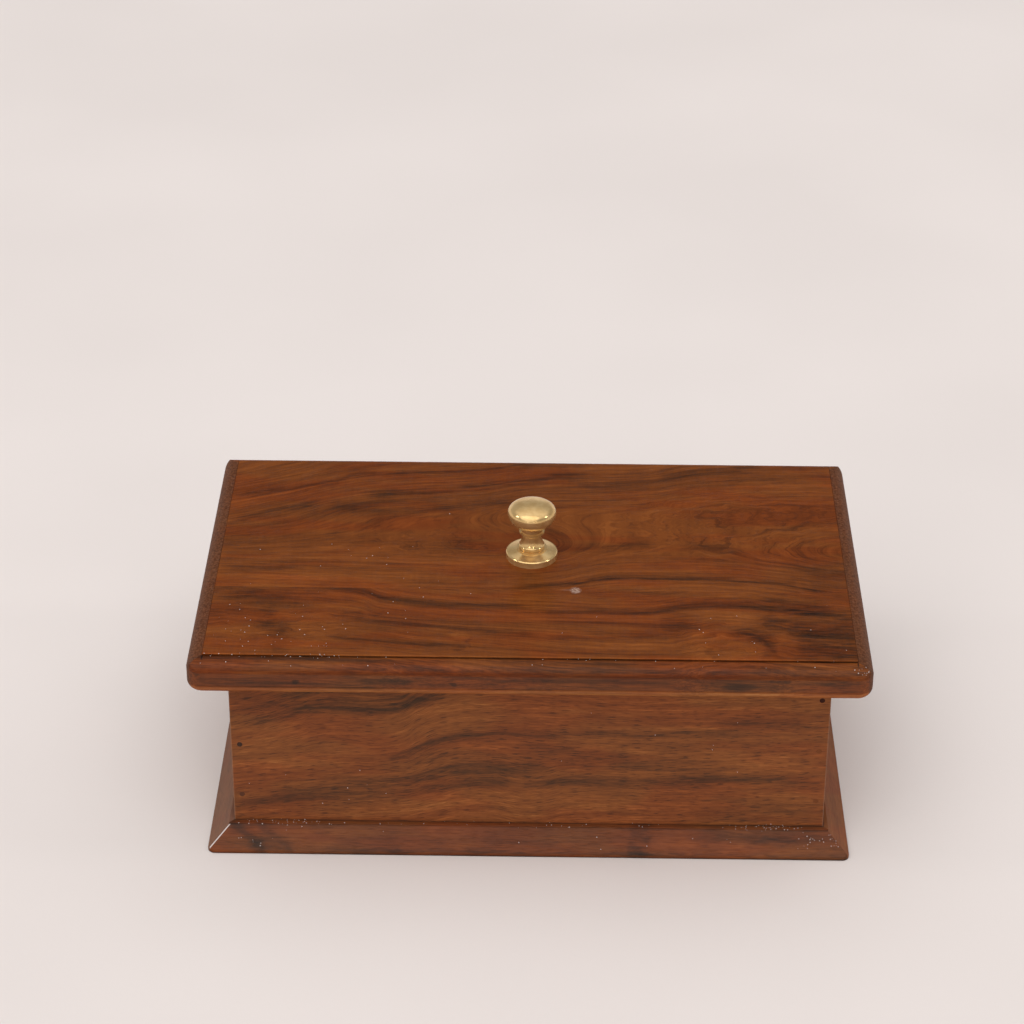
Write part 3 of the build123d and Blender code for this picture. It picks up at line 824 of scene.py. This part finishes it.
belly = arc((HEAD_RADIUS - BELLY[0], HEAD_LINE), BELLY, -60, 0)
shoulder = arc((HEAD_RADIUS - SHOULDER[0], HEAD_LINE), SHOULDER, 0, SHOULDER_TURN)[1:]
crown_slope = SHOULDER[1] / SHOULDER[0] / math.tan(math.radians(SHOULDER_TURN))
crown_radius, crown_height = shoulder[-1]
crown = []
for i in range(1, CROWN_STEPS + 1):
    left = 1 - i / CROWN_STEPS
    crown.append((crown_radius * left, crown_height + crown_slope * crown_radius / 2 * (1 - left ** 2)))
profile = [(0.0, 0.0), (STEM_RADIUS - STEM_EASE, 0.0), (STEM_RADIUS, STEM_EASE)]
profile += [(STEM_RADIUS, STEM_LIP - STEM_EASE)]
profile += waist((STEM_RADIUS - STEM_EASE, STEM_LIP), WAIST_LINE, WAIST_TOP)
profile += [(COLLAR_RADIUS, height) for height in COLLAR] + [(NECK_RADIUS, height) for height in NECK]
profile += belly + shoulder + crown
print("the knob's profile has", len(profile), "points and ends", round(profile[-1][1], 2), "mm up")

# %% Turning the profile
KNOB_SIDES = 96
SHARP_EDGE = math.radians(32)


def turned(name, outline, base):
    """A closed mesh: the outline (radius, height in mm) turned round the Z axis, its ends on the axis."""
    points = [(0.0, 0.0, (outline[0][1] + base) * MM), (0.0, 0.0, (outline[-1][1] + base) * MM)]
    rings = []
    for radius, height in outline[1:-1]:
        rings.append(len(points))
        for side in range(KNOB_SIDES):
            turn = 2 * math.pi * side / KNOB_SIDES
            points.append((radius * MM * math.cos(turn), radius * MM * math.sin(turn), (height + base) * MM))
    faces = []
    for side in range(KNOB_SIDES):
        after = (side + 1) % KNOB_SIDES
        faces.append((0, rings[0] + after, rings[0] + side))
        faces.append((1, rings[-1] + side, rings[-1] + after))
        for lower, upper in zip(rings, rings[1:]):
            faces.append((lower + side, lower + after, upper + after, upper + side))
    mesh = bpy.data.meshes.new(name)
    mesh.from_pydata(points, [], faces)
    mesh.shade_smooth()
    mesh.set_sharp_from_angle(angle=SHARP_EDGE)
    made = bpy.data.objects.new(name, mesh)
    bpy.context.collection.objects.link(made)
    return made


turned_knob = turned("turned_knob", profile, KNOB_BASE)
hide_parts("knob")
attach(turned_knob, "lid")
print("turned knob:", len(turned_knob.data.polygons), "faces")

# %% [markdown]
# ## Brass, steel and filler
#
# The knob was turned on a lathe and polished, so its faint marks are rings round its axis: noise that
# changes with radius and height only. Old lacquer over it scatters some light, so it isn't wholly
# metallic.


# %% Metals
def turned_brass(name):
    """Polished brass, turned round the Z axis."""
    f = Finish(name)
    radius = f.math("SQRT", f.x * f.x + f.y * f.y)
    rings = f.node("TexNoise", noise_dimensions="3D")
    f.feed(rings.inputs["Vector"], f.join(radius * 5, 0.0, f.z * 5))
    rings.inputs["Scale"].default_value = 1.0
    mottle = f.noise((4, 4, 4), 71.0, None, 3.0)
    colour = f.ramp(mottle, [(0.3, srgb(206, 167, 107)), (0.7, srgb(228, 194, 136))])
    roughness = 0.10 + 0.11 * mottle
    height = Field(f, rings.outputs[0])
    return f.shade(colour, roughness, height, depth=0.00002, Metallic=0.66)


BRASS = turned_brass("polished_brass")
wear(BRASS, "knob", "knob_rose")
turned_knob.data.materials.append(BRASS)

steel = Finish("zinc_steel")
steel_mottle = steel.noise((2, 2, 2), 73.0)
steel_colour = steel.ramp(steel_mottle, [(0.3, srgb(150, 150, 148)), (0.7, srgb(188, 188, 186))])
wear(
    steel.shade(steel_colour, 0.30 + 0.2 * steel_mottle, steel_mottle, depth=0.00002, Metallic=1.0),
    "wall_pins", "strip_pins", "knob_screw", "knob_washer",
)

filler = Finish("pin_filler")
grit = filler.noise((0.5, 0.5, 0.5), 79.0)
PIN_X = 131.7
FILLER_STAINS = [
    ((-PIN_X, 52.4), srgb(60, 44, 36)),
    ((-PIN_X, 24.8), srgb(86, 54, 38)),
    ((PIN_X, 80.0), srgb(56, 28, 19)),
]
filler_colour = filler.ramp(grit, [(0.3, srgb(98, 55, 31)), (0.7, srgb(120, 70, 40))])
at_front = filler.y.rise(0, -10)
for place, stain in FILLER_STAINS:
    here = cloud(filler, filler.x, filler.z, place, (4.0, 4.0)).rise(0.3, 0.5) * at_front
    filler_colour = filler.mix(here * (0.75 + 0.5 * grit), filler_colour, stain)
wear(
    filler.shade(filler_colour, 0.5, grit, depth=0.00008, Coat_Weight=0.15, Specular_IOR_Level=0.0),
    "pin_fillers",
)
print("metals and filler finished")

# %% [markdown]
# ## Dust and worn varnish
#
# Small white specks lie where a cloth doesn't reach: in the quirk and on the left of the lid, in the
# crease above the foot, and thickly on its right mitre, where the varnish is chipped. They could be
# painted in the material, but a speck catches light on its own rim. So Geometry Nodes throws points on
# the surface, keeps a point by a chance that falls off round a few places, and puts a flat little ball on
# each. The seed is fixed, so the same specks come every time. The lid's specks ride on the lid, the
# others on the box.

# %% The tree that scatters specks
SPECK_RADIUS = 0.00022
SPECK_SPREAD = (0.4, 1.4)
SPECK_FLATNESS = 0.55
SPECK_FACES = 20


def speck_tree(name, spots, material):
    """Points on the surface, kept near spots (centre and reach in mm, chance), each with a flat ball."""
    tree = bpy.data.node_groups.new(name, "GeometryNodeTree")
    tree.is_modifier = True
    sockets = {}
    for label, kind in (("Surface", "Geometry"), ("Per area", "Float"), ("Radius", "Float"), ("Seed", "Int")):
        sockets[label] = tree.interface.new_socket(label, in_out="INPUT", socket_type="NodeSocket" + kind)
    tree.interface.new_socket("Specks", in_out="OUTPUT", socket_type="NodeSocketGeometry")

    def add(kind, **inputs):
        made = tree.nodes.new(kind)
        for key, value in inputs.items():
            socket = made.inputs[key.replace("_", " ")]
            if isinstance(value, bpy.types.NodeSocket):
                tree.links.new(value, socket)
            else:
                socket.default_value = value
        return made

    def work(kind, operation, *values):
        made = tree.nodes.new(kind)
        made.operation = operation
        for socket, value in zip(made.inputs, values):
            if isinstance(value, bpy.types.NodeSocket):
                tree.links.new(value, socket)
            else:
                socket.default_value = value
        return made

    given = tree.nodes.new("NodeGroupInput").outputs
    thrown = add("GeometryNodeDistributePointsOnFaces", Mesh=given["Surface"], Density=given["Per area"],
                 Seed=given["Seed"])
    place = tree.nodes.new("GeometryNodeInputPosition").outputs[0]
    chance = 0.0
    for centre, reach, most in spots:
        away = work("ShaderNodeVectorMath", "SUBTRACT", place, [c * MM for c in centre]).outputs[0]
        away = work("ShaderNodeVectorMath", "DIVIDE", away, [r * MM for r in reach]).outputs[0]
        length = work("ShaderNodeVectorMath", "LENGTH", away).outputs["Value"]
        fall = tree.nodes.new("ShaderNodeMapRange")
        tree.links.new(length, fall.inputs[0])
        for index, value in enumerate((1.0, 0.3, 0.0, most), 1):
            fall.inputs[index].default_value = value
        chance = work("ShaderNodeMath", "MAXIMUM", fall.outputs[0], chance).outputs[0]
    keep = tree.nodes.new("FunctionNodeRandomValue")
    keep.data_type = "BOOLEAN"
    size = tree.nodes.new("FunctionNodeRandomValue")
    size.data_type = "FLOAT"

    def named(sockets_of, identifier):
        return next(s for s in sockets_of if s.identifier == identifier)

    tree.links.new(chance, named(keep.inputs, "Probability"))
    tree.links.new(given["Seed"], named(keep.inputs, "Seed"))
    tree.links.new(given["Seed"], named(size.inputs, "Seed"))
    named(size.inputs, "Min_001").default_value = SPECK_SPREAD[0]
    named(size.inputs, "Max_001").default_value = SPECK_SPREAD[1]
    wide = work("ShaderNodeMath", "MULTIPLY", named(size.outputs, "Value_001"), given["Radius"]).outputs[0]
    flat = work("ShaderNodeMath", "MULTIPLY", wide, SPECK_FLATNESS).outputs[0]
    scale = add("ShaderNodeCombineXYZ", X=wide, Y=wide, Z=flat).outputs[0]
    ball = add("GeometryNodeMeshIcoSphere", Radius=1.0, Subdivisions=1).outputs[0]
    placed = add("GeometryNodeInstanceOnPoints", Points=thrown.outputs["Points"], Instance=ball,
                 Selection=named(keep.outputs, "Value_003"), Rotation=thrown.outputs["Rotation"], Scale=scale)
    whole = add("GeometryNodeRealizeInstances", Geometry=placed.outputs[0])
    coated = add("GeometryNodeSetMaterial", Geometry=whole.outputs[0], Material=material)
    result = tree.nodes.new("NodeGroupOutput")
    tree.links.new(coated.outputs[0], result.inputs[0])
    return tree, {label: socket.identifier for label, socket in sockets.items()}


# %% Specks on the lid and on the box
LID_DENSITY = 300000.0
FOOT_DENSITY = 700000.0
dust = Finish("dust")
dust_grit = dust.noise((0.4, 0.4, 0.4), 97.0)
dust_colour = dust.ramp(dust_grit, [(0.3, srgb(150, 130, 120)), (0.7, srgb(228, 217, 211))])
DUST = dust.shade(dust_colour, 0.6, dust_grit, depth=0.00002, Specular_IOR_Level=0.3)
LID_SPECKS = [
    ((-114, -70, 107.4), (50, 34, 2), 0.07),
    ((-70, -20, 107.4), (90, 70, 2), 0.012),
    ((80, -70, 107.4), (90, 40, 2), 0.008),
    ((-104, -88, 107), (60, 1.4, 1.2), 0.7),
    ((50, -88, 107), (110, 1.0, 1.0), 0.14),
    ((-104, -92, 106), (60, 3, 2), 0.10),
    ((60, -92, 106), (90, 3, 2), 0.04),
    ((146.5, -92.6, 105), (5.5, 3.0, 2.5), 1.0),
    ((130, -92, 106), (14, 3, 2), 0.14),
]
BOX_SPECKS = [
    ((-112, -79.5, 10.4), (26, 2.4, 1.4), 0.6),
    ((112, -79.5, 10.4), (26, 2.4, 1.4), 0.6),
    ((0, -79.5, 10.4), (130, 2.4, 1.4), 0.08),
    ((141, -84.5, 6.2), (8, 8, 5.2), 0.55),
    ((129, -84, 6.2), (9, 7, 5), 0.14),
    ((-124, -86, 5), (12, 6, 4), 0.10),
    ((-105, -82, 8.5), (14, 5, 4), 0.06),
    ((-20, -84, 6.2), (150, 8, 5), 0.008),
    ((-90, -78.2, 26), (70, 2, 20), 0.006),
    ((70, -78.2, 50), (90, 2, 40), 0.002),
]


def scatter(name, body, surfaces, per_area, spots, seed):
    """Scatters specks on the named pieces as one plain mesh that rides on a body."""
    shell = bmesh.new()
    for surface in surfaces:
        shell.from_mesh(nodes[surface].data)
    bmesh.ops.remove_doubles(shell, verts=shell.verts, dist=1e-6)
    mesh = bpy.data.meshes.new(name)
    shell.to_mesh(mesh)
    shell.free()
    specks = bpy.data.objects.new(name, mesh)
    bpy.context.collection.objects.link(specks)
    tree, identifiers = speck_tree(name, spots, DUST)
    thrower = specks.modifiers.new("specks", "NODES")
    thrower.node_group = tree
    thrower[identifiers["Per area"]] = per_area
    thrower[identifiers["Radius"]] = SPECK_RADIUS
    thrower[identifiers["Seed"]] = seed
    bpy.context.view_layer.update()
    shown = specks.evaluated_get(bpy.context.evaluated_depsgraph_get())
    plain = bpy.data.meshes.new_from_object(shown)
    specks.modifiers.clear()
    specks.data = plain
    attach(specks, body)
    print(name, "has", len(plain.polygons) // SPECK_FACES, "specks")


scatter("lid_dust", "lid", ["lid_board_front", "lid_board_back"], LID_DENSITY, LID_SPECKS, 5)
scatter("foot_dust", "box", ["plinth_front", "front_wall"], FOOT_DENSITY, BOX_SPECKS, 8)

# %% [markdown]
# ## The studio
#
# A plain pale floor, and light from one very large soft source above the camera. Four small soft boxes,
# one at each side and two behind the camera, put the crisp lights on the brass. The varnish mirrors the
# sky behind the box, so the sky is a gradient: pale low down, where it is the background, darker from 20
# to 40 degrees, where the lid and the brass would catch a veil of white, and bright overhead.

# %% Floor and sky
FLOOR_HALF = 6.0
FLOOR_DROP = 0.0002
floor_mesh = bpy.data.meshes.new("floor")
corners = [(x * FLOOR_HALF, y * FLOOR_HALF, -FLOOR_DROP) for x, y in ((-1, -1), (1, -1), (1, 1), (-1, 1))]
floor_mesh.from_pydata(corners, [], [(0, 1, 2, 3)])
floor = bpy.data.objects.new("floor", floor_mesh)
bpy.context.collection.objects.link(floor)
paper = Finish("pale_paper")
tooth = paper.noise((0.7, 0.7, 0.7), 83.0)
blotch = paper.noise((260, 260, 260), 89.0)
paper_colour = paper.ramp(blotch, [(0.35, srgb(227, 218, 213)), (0.65, srgb(231, 222, 217))])
floor_mesh.materials.append(paper.shade(paper_colour, 0.9, tooth, depth=0.00005, Specular_IOR_Level=0.1))

world = bpy.data.worlds.new("sky")
bpy.context.scene.world = world
world.use_nodes = True
sky = world.node_tree
sky_place = sky.nodes.new("ShaderNodeTexCoord")
sky_split = sky.nodes.new("ShaderNodeSeparateXYZ")
sky_ramp = sky.nodes.new("ShaderNodeValToRGB")
sky.links.new(sky_place.outputs["Generated"], sky_split.inputs[0])
sky.links.new(sky_split.outputs["Z"], sky_ramp.inputs[0])
sky.links.new(sky_ramp.outputs[0], sky.nodes["Background"].inputs["Color"])
SKY_LOW = (0.22, (0.80, 0.74, 0.70, 1))
SKY_HIGH = (0.85, (1.06, 1.06, 1.075, 1))
SKY_DARK = (0.30, 0.30, 0.306, 1)
SKY_DARK_FROM, SKY_DARK_TO = 0.36, 0.62
low_stop, high_stop = sky_ramp.color_ramp.elements
low_stop.position, low_stop.color = SKY_LOW
high_stop.position, high_stop.color = SKY_HIGH
for position in (SKY_DARK_FROM, SKY_DARK_TO):
    sky_ramp.color_ramp.elements.new(position).color = SKY_DARK
print("sky in", len(sky_ramp.color_ramp.elements), "steps")

# %% Lamps
KEY_POWER = 1.10
KEY_WIDTH = math.radians(70)
KEY_FROM = Vector((-0.16, -0.55, 0.82))
key_data = bpy.data.lights.new("key", "SUN")
key_data.energy = KEY_POWER
key_data.angle = KEY_WIDTH
key = bpy.data.objects.new("key", key_data)
key.rotation_euler = KEY_FROM.to_track_quat("Z", "Y").to_euler()
bpy.context.collection.objects.link(key)

SOFT_BOX_SIZE = 0.18
SOFT_BOXES = [
    ((-0.98, -0.10, 0.86), 0.9), ((0.96, -0.12, 0.88), 0.9),
    ((-0.62, -1.75, 0.62), 1.3), ((0.50, -1.75, 0.62), 1.3),
]
for number, (place, power) in enumerate(SOFT_BOXES, 1):
    box_data = bpy.data.lights.new(f"soft_box_{number}", "AREA")
    box_data.energy = power
    box_data.size = SOFT_BOX_SIZE
    box = bpy.data.objects.new(f"soft_box_{number}", box_data)
    box.location = place
    box.rotation_euler = Vector(place).to_track_quat("Z", "Y").to_euler()
    bpy.context.collection.objects.link(box)
print("lamps:", 1 + len(SOFT_BOXES))

bpy.context.scene.view_settings.view_transform = "Standard"
print("studio ready")
